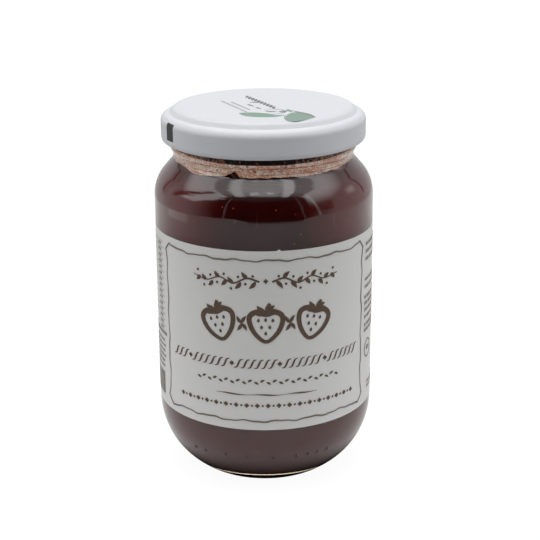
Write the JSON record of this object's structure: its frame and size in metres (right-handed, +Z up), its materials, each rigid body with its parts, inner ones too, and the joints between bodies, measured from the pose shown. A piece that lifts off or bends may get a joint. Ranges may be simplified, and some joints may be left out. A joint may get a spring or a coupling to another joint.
{
  "type": "jam jar",
  "caption": "Shut round glass jar of dark red jam, with pale froth in its neck, a paper label wrapped round the body and a white twist-off metal lid.",
  "frame": {"origin": "the middle of the foot ring, on the surface that the jar stands on", "axes": "+Z up along the jar's axis; -Y faces the middle of the label's printed front"},
  "size_m": [0.0738, 0.0733, 0.1243],
  "materials": {
    "glass": "gloss",
    "jam": "gloss",
    "froth": "matte",
    "label": "matte",
    "lid": "satin"
  },
  "bodies": {
    "root": {"jar": "glass", "jam": "jam", "froth": "froth", "label": "label", "lid": "lid"}
  },
  "joints": []
}
